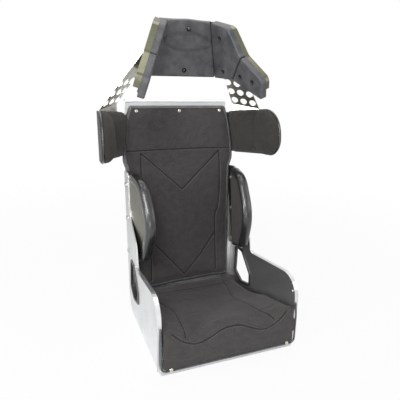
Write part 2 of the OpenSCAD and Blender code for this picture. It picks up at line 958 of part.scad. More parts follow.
module seat_snap_caps() {
    color("silver") seated()
        for (x = [-1, 1])
            translate([x * seat_snap_x, front_y - snap_cap_t, seat_snap_z]) back_peg(cap_d, snap_cap_t);
}

seat_pan();
back_panel();
side_panel_left();
side_panel_right();
side_panel_rivets();
belt_trim_left();
belt_trim_right();
rib_support_left();
rib_support_right();
rib_foam_left();
rib_foam_right();
rib_cover_left();
rib_cover_right();
rib_bolts();
rib_nuts();
shoulder_plate_left();
shoulder_plate_right();
shoulder_foam_left();
shoulder_foam_right();
shoulder_cover_left();
shoulder_cover_right();
shoulder_bolts();
shoulder_nuts();
head_shell();
head_bracket_left();
head_bracket_right();
bracket_bolts();
bracket_nuts();
head_pad_centre();
head_pad_side_left();
head_pad_side_right();
head_pad_wing_left();
head_pad_wing_right();
head_pad_screws();
head_pad_nuts();
back_foam();
back_cover();
back_snap_studs();
back_snap_caps();
seat_foam();
seat_cover();
seat_snap_studs();
seat_snap_caps();
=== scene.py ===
import bpy
import math
import numpy as np
from mathutils import Matrix, Vector


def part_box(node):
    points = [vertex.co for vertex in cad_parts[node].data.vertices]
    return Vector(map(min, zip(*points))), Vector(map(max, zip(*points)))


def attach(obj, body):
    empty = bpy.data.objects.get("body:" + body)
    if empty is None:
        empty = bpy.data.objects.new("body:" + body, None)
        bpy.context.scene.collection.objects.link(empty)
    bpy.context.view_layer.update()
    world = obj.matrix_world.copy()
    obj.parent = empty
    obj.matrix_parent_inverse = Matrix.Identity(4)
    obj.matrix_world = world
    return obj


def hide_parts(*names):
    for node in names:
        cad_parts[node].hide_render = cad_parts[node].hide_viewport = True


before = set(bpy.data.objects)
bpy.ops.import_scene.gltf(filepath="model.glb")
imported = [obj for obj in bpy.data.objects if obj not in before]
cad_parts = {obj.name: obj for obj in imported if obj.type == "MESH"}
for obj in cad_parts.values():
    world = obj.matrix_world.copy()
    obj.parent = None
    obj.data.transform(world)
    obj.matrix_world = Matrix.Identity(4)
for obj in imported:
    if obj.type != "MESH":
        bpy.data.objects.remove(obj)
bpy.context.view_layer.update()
scene = bpy.context.scene
print("frame loaded:", len(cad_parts), "nodes")

# the seat's own sizes, in millimetres, as the metalwork has them
seat = {
    "lean": 7.0,          # back from upright, degrees
    "hip": 381.0,         # between the side panels
    "depth": 386.0,
    "flare": 12.0,        # each side, over the depth
    "sheet": 3.2,
}
lean = math.radians(seat["lean"])
flare = math.atan(seat["flare"] / seat["depth"])
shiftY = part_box("seat_pan")[0].y * 1000 + seat["depth"] + seat["sheet"]


# small geometry helpers
def leaned(x, y, s):
    # back's own frame (x, depth behind its face, length up it) turned by the lean into the seat's frame
    return np.stack([x + 0 * y, y * np.cos(lean) + s * np.sin(lean), s * np.cos(lean) - y * np.sin(lean)], -1)


def panelPoint(x, y, z):
    # a side panel's own frame turned by the flare and set at half the hip width
    return np.stack([
        seat["hip"] / 2 + x * np.cos(flare) - y * np.sin(flare),
        x * np.sin(flare) + y * np.cos(flare),
        z + 0 * x,
    ], -1)


def smooth(x, lo, hi):
    # 0 below lo, 1 above hi, and an even s-curve between
    t = np.clip((x - lo) / (hi - lo), 0, 1)
    return t * t * (3 - 2 * t)


def ripple(a, b, wave, seed):
    # sum of five slanted sine waves of nearby lengths: a soft, repeatable unevenness between -1 and 1
    turns = seed + np.array([0.3, 1.5, 2.6, 3.9, 5.1])
    sizes = wave * np.array([1.0, 1.33, 0.77, 1.61, 0.58])
    total = 0
    for turn, size in zip(turns, sizes):
        total = total + np.sin(2 * np.pi * (a * np.cos(turn) + b * np.sin(turn)) / size + 7 * turn)
    return total / 5


def roundedOutline(points, radii, step=6):
    # polygon with each corner replaced by an arc of its radius, then walked at an even step
    points = np.array(points, float)
    out = []
    for i, r in enumerate(radii):
        b = points[i]
        u = points[i - 1] - b
        v = points[(i + 1) % len(points)] - b
        u, v = u / np.linalg.norm(u), v / np.linalg.norm(v)
        half = math.acos(np.clip(u @ v, -1, 1)) / 2
        centre = b + (u + v) / np.linalg.norm(u + v) * r / math.sin(half)
        start = b + u * r / math.tan(half) - centre
        end = b + v * r / math.tan(half) - centre
        a0 = math.atan2(start[1], start[0])
        turn = (math.atan2(end[1], end[0]) - a0 + math.pi) % (2 * math.pi) - math.pi
        k = a0 + turn * np.linspace(0, 1, 12)
        out.append(centre + r * np.stack([np.cos(k), np.sin(k)], -1))
    return evenly(np.concatenate(out), step, True)


def evenly(path, step, closed=False):
    # the same path with points an even distance apart
    path = np.concatenate([path, path[:1]]) if closed else path
    at = np.concatenate([[0], np.cumsum(np.linalg.norm(np.diff(path, axis=0), axis=1))])
    n = max(4, int(round(at[-1] / step)))
    k = np.linspace(0, at[-1], n + 1)
    new = np.stack([np.interp(k, at, path[:, c]) for c in range(path.shape[1])], -1)
    return new[:-1] if closed else new


def alongCurve(points, step=4):
    # a Catmull-Rom curve through a few hand-set points
    p = np.array(points, float)
    p = np.concatenate([2 * p[:1] - p[1:2], p, 2 * p[-1:] - p[-2:-1]])
    t = np.linspace(0, 1, 16, endpoint=False)[:, None]
    out = []
    for a, b, c, d in zip(p[:-3], p[1:-2], p[2:-1], p[3:]):
        bends = (2 * a - 5 * b + 4 * c - d) * t ** 2 + (3 * b - a - 3 * c + d) * t ** 3
        out.append(0.5 * (2 * b + (c - a) * t + bends))
    out.append(p[-2][None])
    return evenly(np.concatenate(out), step)


def gridFaces(rows, cols, wrapRows=False, wrapCols=False):
    # quads between neighbouring points of a grid numbered row by row
    r = np.arange(rows if wrapRows else rows - 1)[:, None]
    c = np.arange(cols if wrapCols else cols - 1)[None, :]
    a, b = r * cols + c, r * cols + (c + 1) % cols
    d, e = ((r + 1) % rows) * cols + c, ((r + 1) % rows) * cols + (c + 1) % cols
    return np.stack([a, b, e, d], -1).reshape(-1, 4)


def makePiece(name, co, faces):
    # a mesh from an array of points in the seat's frame, in millimetres, and an array or list of faces
    mesh = bpy.data.meshes.new(name)
    co = np.asarray(co, float).reshape(-1, 3) + [0, shiftY, 0]
    mesh.from_pydata((co / 1000).tolist(), [], [list(map(int, f)) for f in faces])
    mesh.validate()
    piece = bpy.data.objects.new(name, mesh)
    scene.collection.objects.link(piece)
    turnOutward(piece)
    mesh.polygons.foreach_set("use_smooth", [True] * len(mesh.polygons))
    return piece


def turnOutward(piece):
    # closed shapes only: flips every face if the signed volume is negative
    mesh = piece.data
    mesh.calc_loop_triangles()
    co = readPoints(mesh)
    tri = np.zeros(len(mesh.loop_triangles) * 3, int)
    mesh.loop_triangles.foreach_get("vertices", tri)
    a, b, c = (co[tri.reshape(-1, 3)[:, i]] for i in range(3))
    if (a * np.cross(b, c)).sum() < 0:
        mesh.flip_normals()


def readPoints(mesh):
    co = np.zeros(len(mesh.vertices) * 3)
    mesh.vertices.foreach_get("co", co)
    return co.reshape(-1, 3)


def seatPoints(piece):
    # a piece's points in the seat's frame, in millimetres
    return readPoints(piece.data) * 1000 - [0, shiftY, 0]


def putPoints(piece, co):
    co = (co + [0, shiftY, 0]) / 1000
    piece.data.vertices.foreach_set("co", co.ravel())
    piece.data.update()


def normalsOf(piece):
    out = np.zeros(len(piece.data.vertices) * 3)
    piece.data.vertex_normals.foreach_get("vector", out)
    return out.reshape(-1, 3)


def bake(piece):
    # applies the piece's modifiers to its mesh
    bpy.context.view_layer.update()
    made = bpy.data.meshes.new_from_object(piece.evaluated_get(bpy.context.evaluated_depsgraph_get()))
    piece.modifiers.clear()
    old = piece.data
    piece.data = made
    bpy.data.meshes.remove(old)
    made.polygons.foreach_set("use_smooth", [True] * len(made.polygons))


def mirrored(piece, name):
    # the same piece for the other side of the seat
    mesh = piece.data.copy()
    other = bpy.data.objects.new(name, mesh)
    scene.collection.objects.link(other)
    co = readPoints(mesh)
    co[:, 0] *= -1
    mesh.vertices.foreach_set("co", co.ravel())
    mesh.flip_normals()
    mesh.update()
    return other


def padFaces(rows, cols):
    # the grid's rings, with a fan on its first and last ring
    return gridFaces(rows, cols, wrapCols=True).tolist() + endCaps(rows, cols)


def settlePad(piece, cap, hold, voxel=5, pressure=4, frames=20):
    # even mesh, then blown up from inside like a stuffed cover; no point may move further than cap,
    # and hold gives each point's share of its move, 0 where the cover is held down
    remesh = piece.modifiers.new("voxel", "REMESH")
    remesh.mode = "VOXEL"
    remesh.voxel_size = voxel / 1000
    bake(piece)
    start = readPoints(piece.data)
    cloth = piece.modifiers.new("cloth", "CLOTH")
    cloth.settings.quality = 5
    cloth.settings.mass = 0.2
    cloth.settings.tension_stiffness = 12
    cloth.settings.compression_stiffness = 12
    cloth.settings.shear_stiffness = 6
    cloth.settings.bending_stiffness = 1.2
    cloth.settings.use_pressure = True
    cloth.settings.uniform_pressure_force = pressure
    cloth.settings.effector_weights.gravity = 0
    cloth.point_cache.frame_end = frames
    for f in range(1, frames + 1):
        scene.frame_set(f)
    moved = readPoints(piece.evaluated_get(bpy.context.evaluated_depsgraph_get()).data)
    piece.modifiers.clear()
    scene.frame_set(1)
    step = moved - start
    size = np.linalg.norm(step, axis=1, keepdims=True)
    step = step * np.minimum(1, cap / 1000 / np.maximum(size, 1e-9))
    step = step * hold(start * 1000 - [0, shiftY, 0])[:, None]
    piece.data.vertices.foreach_set("co", (start + step).ravel())
    piece.data.update()


def subdivide(piece):
    sub = piece.modifiers.new("sub", "SUBSURF")
    sub.levels = sub.render_levels = 1
    bake(piece)


far = 60.0  # the seam distance, in millimetres, written where no seam can be


def seamDistance(a, b, seams):
    # for each point: distance to the nearest seam, and length along it
    best = np.full(len(a), 1e6)
    along = np.zeros(len(a))
    p = np.stack([a, b], -1)
    for seam in seams:
        seam = np.asarray(seam, float)
        run = 0
        for u, v in zip(seam[:-1], seam[1:]):
            d = v - u
            length = np.linalg.norm(d)
            t = np.clip(((p - u) @ d) / length ** 2, 0, 1)
            gap = np.linalg.norm(p - u - t[:, None] * d, axis=1)
            near = gap < best
            best[near] = gap[near]
            along[near] = run + (t * length)[near]
            run += length
    return best, along


def sewnDepth(gap, along, depth, width=3.4, puckers=0.6):
    # a rounded groove on the seam, and small gathers that fade away from it
    groove = depth * np.exp(-(gap / width) ** 2)
    gather = puckers * np.sin(along / 2.1 + 1.3 * np.sin(along / 9)) * np.exp(-gap / 9)
    return groove + gather * (1 - np.exp(-(gap / width) ** 2))


def writeAttribute(piece, name, *parts):
    # one vector per point
    layer = piece.data.attributes.new(name, "FLOAT_VECTOR", "POINT")
    layer.data.foreach_set("vector", np.stack(parts, -1).astype(np.float32).ravel())


def endCaps(rows, cols):
    # the two ends of an open tube whose rings are numbered row by row
    return [list(range(cols))[::-1], [(rows - 1) * cols + i for i in range(cols)]]


def sweep(name, path, up, profile):
    # profile points (across, up) carried along the open path; up is the profile's second axis
    way = np.gradient(path, axis=0)
    way /= np.linalg.norm(way, axis=1, keepdims=True)
    up = np.broadcast_to(up, path.shape)
    up = up - (up * way).sum(1, keepdims=True) * way
    up = up / np.linalg.norm(up, axis=1, keepdims=True)
    side = np.cross(way, up)
    a, b = profile[:, 0][None, :, None], profile[:, 1][None, :, None]
    co = path[:, None] + a * side[:, None] + b * up[:, None]
    faces = gridFaces(len(path), len(profile), False, True).tolist()
    return makePiece(name, co, faces + endCaps(len(path), len(profile)))


def ovalProfile(across, upward, sides=12):
    k = np.linspace(0, 2 * np.pi, sides, endpoint=False)
    return np.stack([across * np.cos(k), upward * np.sin(k)], -1)


def lathePieces(name, profile, places, sides=28):
    # profile (radius, height) turned about each place's axis; a place is (point, axis)
    k = np.linspace(0, 2 * np.pi, sides, endpoint=False)
    co, faces = [], []
    for point, axis in places:
        w = np.array(axis, float) / np.linalg.norm(axis)
        u = np.cross(w, [0.31, 0.2, 0.9])
        u /= np.linalg.norm(u)
        v = np.cross(w, u)
        ring = np.cos(k)[None, :, None] * u + np.sin(k)[None, :, None] * v
        body = np.array(point) + profile[:, 0][:, None, None] * ring + profile[:, 1][:, None, None] * w
        start = sum(len(c) for c in co)
        co.append(body.reshape(-1, 3))
        faces += [[start + i for i in f] for f in padFaces(len(profile), sides)]
    return makePiece(name, np.concatenate(co), faces)


def outlineNormals(outline):
    # unit normals of a closed flat outline, pointing away from its middle
    way = np.roll(outline, -1, 0) - np.roll(outline, 1, 0)
    way /= np.linalg.norm(way, axis=1, keepdims=True)
    out = np.stack([way[:, 1], -way[:, 0]], -1)
    return out if ((outline - outline.mean(0)) * out).sum() > 0 else -out


def bandAround(outline, profile):
    # point = outline + a * its outward normal, at height b; (a, b) walks round the band's own closed section
    flat = outline[:, None] + profile[None, :, :1] * outlineNormals(outline)[:, None]
    high = profile[None, :, 1:] + 0 * flat[..., :1]
    return np.concatenate([flat, high], -1)


def ringPiece(name, local, place, closed=True):
    # a band's grid put in its place; an open band gets its two ends closed
    rows, cols = local.shape[:2]
    co = place(local[..., 0].ravel(), local[..., 1].ravel(), local[..., 2].ravel())
    faces = gridFaces(rows, cols, closed, True).tolist()
    return makePiece(name, co, faces if closed else faces + endCaps(rows, cols))


def padShell(outline, edge, front, back, crown=0, rings=12):
    # rings from the front's middle outwards, over a rounded edge, down the wall and back to the middle behind:
    # each ring is the outline moved in along its normals, then scaled towards the middle
    inner = outline - edge * outlineNormals(outline)
    centre = inner.mean(0)
    k = np.linspace(0.05, 1, rings)
    t = np.linspace(np.pi / 2, 0, 7)[1:]
    shares = [(inner, r, front + crown * (1 - r * r)) for r in k]
    out = outlineNormals(outline)
    shares += [(outline - edge * (1 - math.cos(a)) * out, 1, front - edge * (1 - math.sin(a))) for a in t]
    shares += [(outline, 1, h) for h in np.linspace(front - edge, back + 1, 4)[1:]]
    shares += [(outline - 1.0 * out, 1, back)]
    shares += [(inner, r, back) for r in k[::-1]]
    return np.stack([np.insert(centre + r * (ring - centre), 2, h, axis=1) for ring, r, h in shares])


def padPiece(name, grid, place):
    co = place(grid[..., 0].ravel(), grid[..., 1].ravel(), grid[..., 2].ravel())
    return makePiece(name, co, padFaces(*grid.shape[:2]))


# where the flat outlines of the pads lie in the seat
def onBack(x, s, h):
    # h in front of the back panel
    return leaned(x, -h, s)


def offBack(co):
    y, z = co[:, 1], co[:, 2]
    return co[:, 0], y * np.sin(lean) + z * np.cos(lean), -(y * np.cos(lean) - z * np.sin(lean))


ribShape = {
    "bend": 60.0,      # how far in front of the back the plate turns in
    "toe": 9.0,        # the turn, degrees
    "ease": 8.0,       # how softly it starts
    "outline": [(-65, 192), (-153, 203), (-211, 322), (-150, 443), (-65, 467)],
    "radii": [10, 34, 112, 80, 10],
}


def ribSwing(y):
    past = np.maximum(0, -ribShape["bend"] - y)
    return (past ** 2 / (past + ribShape["ease"])) * math.tan(math.radians(ribShape["toe"]))


def onRib(y, s, h):
    # h inwards from the plate's outer face; y and s in the back's own frame
    p = leaned(-ribSwing(y) - h, y, s)
    return panelPoint(p[..., 0], p[..., 1], p[..., 2])


def offRib(co):
    x, y = co[:, 0] - seat["hip"] / 2, co[:, 1]
    xl = x * np.cos(flare) + y * np.sin(flare)
    yl = -x * np.sin(flare) + y * np.cos(flare)
    yb = yl * np.cos(lean) - co[:, 2] * np.sin(lean)
    s = yl * np.sin(lean) + co[:, 2] * np.cos(lean)
    return yb, s, -xl - ribSwing(yb)


shoulderShape = {
    "plan": [(150, 3.2), (198.5, 3.2), (279, -77), (287, -186)],
    "turn": 24.0,      # radius of the plan's two corners
    "thick": 37.0,
    "outline": [(40, 521), (270, 503), (270, 662), (40, 662)],
    "radii": [4, 55, 84, 4],
    "wrapFrom": 170.0,  # from here on the cover goes round the plate's outside too
    "splay": 0.07,     # outward, for each millimetre past the plan's end
}


def shoulderPlan():
    # straight runs joined by arcs, as an even path with its normals towards the sitter
    p = np.array(shoulderShape["plan"], float)
    r = shoulderShape["turn"]
    out = [p[:1]]
    for a, b, c in zip(p[:-2], p[1:-1], p[2:]):
        u, v = (a - b) / np.linalg.norm(a - b), (c - b) / np.linalg.norm(c - b)
        half = math.acos(u @ v) / 2
        t = r / math.tan(half)
        k = np.linspace(0, 1, 20)[:, None]
        mid = b + (u + v) / np.linalg.norm(u + v) * r / math.sin(half)
        s0, s1 = b + u * t - mid, b + v * t - mid
        arc = s0 * np.sin((1 - k) * (np.pi - 2 * half)) + s1 * np.sin(k * (np.pi - 2 * half))
        out.append(mid + arc / math.sin(np.pi - 2 * half))
    out.append(p[-1:])
    path = evenly(np.concatenate(out), 2.0)
    way = np.gradient(path, axis=0)
    way /= np.linalg.norm(way, axis=1, keepdims=True)
    at = np.concatenate([[0], np.cumsum(np.linalg.norm(np.diff(path, axis=0), axis=1))])
    return at, path, np.stack([way[:, 1], -way[:, 0]], -1)


planAt, planPath, planIn = shoulderPlan()


def onShoulder(a, s, h):
    # a along the plate's plan, h inwards from its inner face
    x = np.interp(a, planAt, planPath[:, 0]) + h * np.interp(a, planAt, planIn[:, 0])
    y = np.interp(a, planAt, planPath[:, 1]) + h * np.interp(a, planAt, planIn[:, 1])
    past = np.maximum(0, a - planAt[-1])
    return leaned(x + past * shoulderShape["splay"], y - past, s)


def offShoulder(co):
    x, s, h0 = offBack(co)
    y = -h0
    gap = np.linalg.norm(np.stack([x, y], -1)[:, None] - planPath[None], axis=2)
    near = gap.argmin(1)
    step = np.stack([x, y], -1) - planPath[near]
    h = (step * planIn[near]).sum(1)
    return planAt[near], s, h


head = {
    "lowBend": (124.0, 45.55, 775.0),
    "highBend": (84.0, -0.26, 938.0),
    "turn": 74.0,
    "thick": 22.0,
    "recess": 15.0,
    "sharp": 38.0,     # edges turning by more than this stay sharp, degrees
}
lowBend, highBend = np.array(head["lowBend"]), np.array(head["highBend"])
headTurn, headEdge = math.radians(head["turn"]), math.radians(head["sharp"])
bendLine = highBend - lowBend
sideU = np.array([math.cos(headTurn), -math.sin(headTurn), 0])
sideV = bendLine - (bendLine @ sideU) * sideU
sideV /= np.linalg.norm(sideV)
sideN = np.cross(sideU, sideV)
centreO = np.array([0, lowBend[1], lowBend[2]])
centreV = np.array([0, bendLine[1], bendLine[2]])
centreV /= np.linalg.norm(centreV)
centreN = np.cross([1, 0, 0], centreV)


def onPlane(origin, u, v, n):
    origin, u, v, n = (np.array(k, float) for k in (origin, u, v, n))
    return lambda a, b, h: origin + np.multiply.outer(a, u) + np.multiply.outer(b, v) + np.multiply.outer(h, n)


def spotOn(place, a, b, h=0.0):
    # one point put in its place
    return place(*np.array([[a], [b], [h]], float))[0]


onCentre = onPlane(centreO, [1, 0, 0], centreV, centreN)
onSide = onPlane(lowBend, sideU, sideV, sideN)

# materials
print("materials")


def nodeGroup(name, inputs, outputs):
    # inputs: a label with its value, a number or a vector; every output is a number
    group = bpy.data.node_groups.new(name, "ShaderNodeTree")
    for label, value in inputs.items():
        kind = "NodeSocketVector" if isinstance(value, tuple) else "NodeSocketFloat"
        socket = group.interface.new_socket(label, in_out="INPUT", socket_type=kind)
        socket.default_value = value
    for label in outputs:
        group.interface.new_socket(label, in_out="OUTPUT", socket_type="NodeSocketFloat")
    return group, group.nodes.new("NodeGroupInput"), group.nodes.new("NodeGroupOutput")


def feed(tree, node, **values):
    # gives each named input a number or a link; an underscore stands for a space
    for label, v in values.items():
        socket = node.inputs[label.replace("_", " ")]
        if isinstance(v, (int, float)):
            socket.default_value = v
        else:
            tree.links.new(v, socket)
    return node.outputs


def mathNode(tree, how, a, b=None, c=None, clamp=False):
    n = tree.nodes.new("ShaderNodeMath")
    n.operation = how
    n.use_clamp = clamp
    for socket, v in zip(n.inputs, (a, b, c)):
        if isinstance(v, (int, float)):
            socket.default_value = v
        elif v is not None:
            tree.links.new(v, socket)
    return n.outputs[0]


def noiseNode(tree, vector, scale, detail=3.0, rough=0.5, stretch=None):
    if stretch is not None:
        m = tree.nodes.new("ShaderNodeMapping")
        m.inputs["Scale"].default_value = stretch
        vector = feed(tree, m, Vector=vector)[0]
    n = tree.nodes.new("ShaderNodeTexNoise")
    return feed(tree, n, Vector=vector, Scale=scale, Detail=detail, Roughness=rough)["Fac"]


def rangeNode(tree, value, lo, hi, toLo=0.0, toHi=1.0):
    n = tree.nodes.new("ShaderNodeMapRange")
    n.interpolation_type = "SMOOTHSTEP"
    return feed(tree, n, Value=value, From_Min=lo, From_Max=hi, To_Min=toLo, To_Max=toHi)[0]


def buildRolledSheet():
    # fine drawn lines along the sheet, handling scuffs and a cloudy tarnish
    g, i, o = nodeGroup("rolledSheet", {"Vector": (0, 0, 0)}, ["Lines", "Scuffs", "Cloud"])
    v = i.outputs["Vector"]
    wide = noiseNode(g, v, 38.0, 5.0, 0.7, (1.0, 2.4, 1.0))
    fine = noiseNode(g, v, 260.0, 3.0, 0.6, (0.25, 1.0, 2.2))
    feed(
        g, o,
        Lines=noiseNode(g, v, 900.0, 4.0, 0.65, (0.03, 1.0, 1.0)),
        Scuffs=mathNode(g, "MULTIPLY", rangeNode(g, wide, 0.52, 0.68), rangeNode(g, fine, 0.48, 0.62)),
        Cloud=rangeNode(g, noiseNode(g, v, 9.0, 4.0, 0.6), 0.35, 0.7),
    )
    return g


def buildWovenCloth():
    # plain weave: warp and weft threads pass over each other in turn; Fuzz is the loose fibre between them
    g, i, o = nodeGroup("wovenCloth", {"Vector": (0, 0, 0), "Thread": 1.35}, ["Weave", "Fuzz", "Mottle"])
    v = i.outputs["Vector"]
    split = g.nodes.new("ShaderNodeSeparateXYZ")
    g.links.new(v, split.inputs[0])
    drift = mathNode(g, "MULTIPLY", noiseNode(g, v, 0.11, 2.0, 0.5), 2.2)
    k = mathNode(g, "DIVIDE", math.pi, i.outputs["Thread"])
    sides = [mathNode(g, "MULTIPLY", mathNode(g, "ADD", split.outputs[c], drift), k) for c in (0, 1)]
    waves = [mathNode(g, "SINE", side) for side in sides]
    warp, weft = (mathNode(g, "ABSOLUTE", w) for w in waves)
    turn = mathNode(g, "MULTIPLY", *(mathNode(g, "SIGN", w) for w in waves))
    over = mathNode(g, "MULTIPLY_ADD", turn, 0.5, 0.5)
    up = mathNode(g, "MULTIPLY", warp, over)
    down = mathNode(g, "MULTIPLY", weft, mathNode(g, "SUBTRACT", 1.0, over))
    big = noiseNode(g, v, 0.045, 5.0, 0.62)
    small = noiseNode(g, v, 0.36, 3.0, 0.7, (1.0, 0.6, 1.0))
    feed(
        g, o,
        Weave=mathNode(g, "ADD", up, down),
        Fuzz=noiseNode(g, v, 1.7, 4.0, 0.7),
        Mottle=mathNode(g, "MULTIPLY_ADD", small, 0.7, mathNode(g, "MULTIPLY", big, 0.3)),
    )
    return g


def buildSewnThread():
    # dashes of thread sunk beside a seam, from the distance to it and the length along it, in millimetres
    g, i, o = nodeGroup("sewnThread", {"Gap": 100.0, "Along": 0.0, "Off": 3.6}, ["Thread", "Shadow"])
    d = mathNode(g, "ABSOLUTE", mathNode(g, "SUBTRACT", i.outputs["Gap"], i.outputs["Off"]))
    line = rangeNode(g, d, 0.35, 0.8, 1.0, 0.0)
    dash = mathNode(g, "FRACT", mathNode(g, "DIVIDE", i.outputs["Along"], 4.2))
    on = mathNode(g, "MULTIPLY", rangeNode(g, dash, 0.06, 0.14), rangeNode(g, dash, 0.74, 0.82, 1.0, 0.0))
    shadow = rangeNode(g, i.outputs["Gap"], 0.5, 3.4, 1.0, 0.0)
    feed(g, o, Thread=mathNode(g, "MULTIPLY", line, on), Shadow=shadow)
    return g


def buildSkinGrain():
    # pebbled skin: rounded cells with fine creases between them, and rubbed patches
    g, i, o = nodeGroup("skinGrain", {"Vector": (0, 0, 0), "Scale": 700.0}, ["Grain", "Rub"])
    v = i.outputs["Vector"]
    cells = g.nodes.new("ShaderNodeTexVoronoi")
    cells.feature = "DISTANCE_TO_EDGE"
    edges = rangeNode(g, feed(g, cells, Vector=v, Scale=i.outputs["Scale"])["Distance"], 0.0, 0.28)
    feed(
        g, o,
        Grain=mathNode(g, "MULTIPLY_ADD", noiseNode(g, v, 1500.0, 2.0), 0.25, edges),
        Rub=rangeNode(g, noiseNode(g, v, 34.0, 4.0, 0.6), 0.3, 0.78),
    )
    return g


rolledSheet, wovenCloth = buildRolledSheet(), buildWovenCloth()
sewnThread, skinGrain = buildSewnThread(), buildSkinGrain()


def newMaterial(name):
    m = bpy.data.materials.new(name)
    m.use_nodes = True
    tree = m.node_tree
    shader = tree.nodes["Principled BSDF"]
    place = tree.nodes.new("ShaderNodeTexCoord").outputs["Object"]
    return m, tree, shader, place


def useGroup(tree, group, **values):
    n = tree.nodes.new("ShaderNodeGroup")
    n.node_tree = group
    return feed(tree, n, **values)


def mixColour(tree, factor, a, b):
    n = tree.nodes.new("ShaderNodeMix")
    n.data_type = "RGBA"
    tree.links.new(factor, n.inputs[0])
    for socket, v in ((n.inputs[6], a), (n.inputs[7], b)):
        if isinstance(v, tuple):
            socket.default_value = (*v, 1)
        else:
            tree.links.new(v, socket)
    return n.outputs[2]


def bumpNode(tree, height, distance, strength, **after):
    n = tree.nodes.new("ShaderNodeBump")
    return feed(tree, n, Height=height, Distance=distance, Strength=strength, **after)[0]


def sheetMetal(name, tone, dark, rough, spread, turn=(0, 0, 0)):
    # bare aluminium sheet
    m, tree, shader, place = newMaterial(name)
    mapping = tree.nodes.new("ShaderNodeMapping")
    mapping.inputs["Rotation"].default_value = [math.radians(k) for k in turn]
    sheet = useGroup(tree, rolledSheet, Vector=feed(tree, mapping, Vector=place)[0])
    cloud = mathNode(tree, "MULTIPLY", sheet["Cloud"], 0.28)
    worn = mathNode(tree, "MULTIPLY_ADD", sheet["Scuffs"], 0.6, cloud, clamp=True)
    lined = mathNode(tree, "MULTIPLY_ADD", sheet["Lines"], 0.16, rough - 0.08)
    dents = bumpNode(tree, noiseNode(tree, place, 14.0, 2.0, 0.4), 0.0008, 0.5)
    feed(
        tree, shader, Metallic=1.0,
        Base_Color=mixColour(tree, mathNode(tree, "MULTIPLY", worn, 1.3, clamp=True), tone, dark),
        Roughness=mathNode(tree, "MULTIPLY_ADD", worn, spread, lined),
        Normal=bumpNode(tree, sheet["Lines"], 0.00006, 0.5, Normal=dents),
    )
    return m


def coverCloth(name, dark, light):
    # woven cover with its seams, laid out on the piece's own cloth coordinates, in millimetres
    m, tree, shader, _ = newMaterial(name)
    cloth, seam = (tree.nodes.new("ShaderNodeAttribute") for _ in range(2))
    cloth.attribute_name, seam.attribute_name = "cloth", "seam"
    parts = tree.nodes.new("ShaderNodeSeparateXYZ")
    tree.links.new(seam.outputs["Vector"], parts.inputs[0])
    weave = useGroup(tree, wovenCloth, Vector=cloth.outputs["Vector"])
    thread = useGroup(tree, sewnThread, Gap=parts.outputs[0], Along=parts.outputs[1])
    tone = mathNode(tree, "MULTIPLY", rangeNode(tree, weave["Mottle"], 0.37, 0.63), 0.4)
    tone = mathNode(tree, "MULTIPLY_ADD", rangeNode(tree, weave["Weave"], 0.25, 0.95), 0.6, tone, clamp=True)
    base = mixColour(tree, tone, dark, light)
    shaded, sewn = tuple(k * 0.25 for k in dark), tuple(k * 1.5 for k in light)
    base = mixColour(tree, mathNode(tree, "MULTIPLY", thread["Shadow"], 0.75), base, shaded)
    base = mixColour(tree, mathNode(tree, "MULTIPLY", thread["Thread"], 0.7), base, sewn)
    height = mathNode(tree, "MULTIPLY_ADD", weave["Fuzz"], 0.5, weave["Weave"])
    height = mathNode(tree, "MULTIPLY_ADD", thread["Thread"], 1.2, height)
    feed(
        tree, shader, Base_Color=base, Sheen_Weight=0.12, Sheen_Roughness=0.45, Specular_IOR_Level=0.3,
        Roughness=rangeNode(tree, weave["Fuzz"], 0.3, 0.7, 0.78, 0.95),
        Normal=bumpNode(tree, height, 0.0004, 0.8),
    )
    return m


def softSkin(name, dark, rubbed, rough, roughRubbed, scale, depth, coat=0.0):
    # vinyl, moulded foam skin or rubber
    m, tree, shader, place = newMaterial(name)
    grain = useGroup(tree, skinGrain, Vector=place, Scale=scale)
    tone = mathNode(tree, "MULTIPLY_ADD", grain["Rub"], roughRubbed - rough, rough)
    feed(
        tree, shader, Coat_Weight=coat, Coat_Roughness=0.2,
        Base_Color=mixColour(tree, grain["Rub"], dark, rubbed),
        Roughness=mathNode(tree, "MULTIPLY_ADD", grain["Grain"], -0.05, tone),
        Normal=bumpNode(tree, grain["Grain"], depth, 0.6),
    )
    return m


def plated(name, tone, dark, rough):
    # plated or blackened steel and brass, with small stains
    m, tree, shader, place = newMaterial(name)
    stain = rangeNode(tree, noiseNode(tree, place, 180.0, 5.0, 0.7), 0.42, 0.7)
    feed(
        tree, shader, Metallic=1.0,
        Base_Color=mixColour(tree, stain, tone, dark),
        Roughness=mathNode(tree, "MULTIPLY_ADD", stain, 0.2, rough),
        Normal=bumpNode(tree, noiseNode(tree, place, 900.0, 2.0), 0.00005, 0.5),
    )
    return m


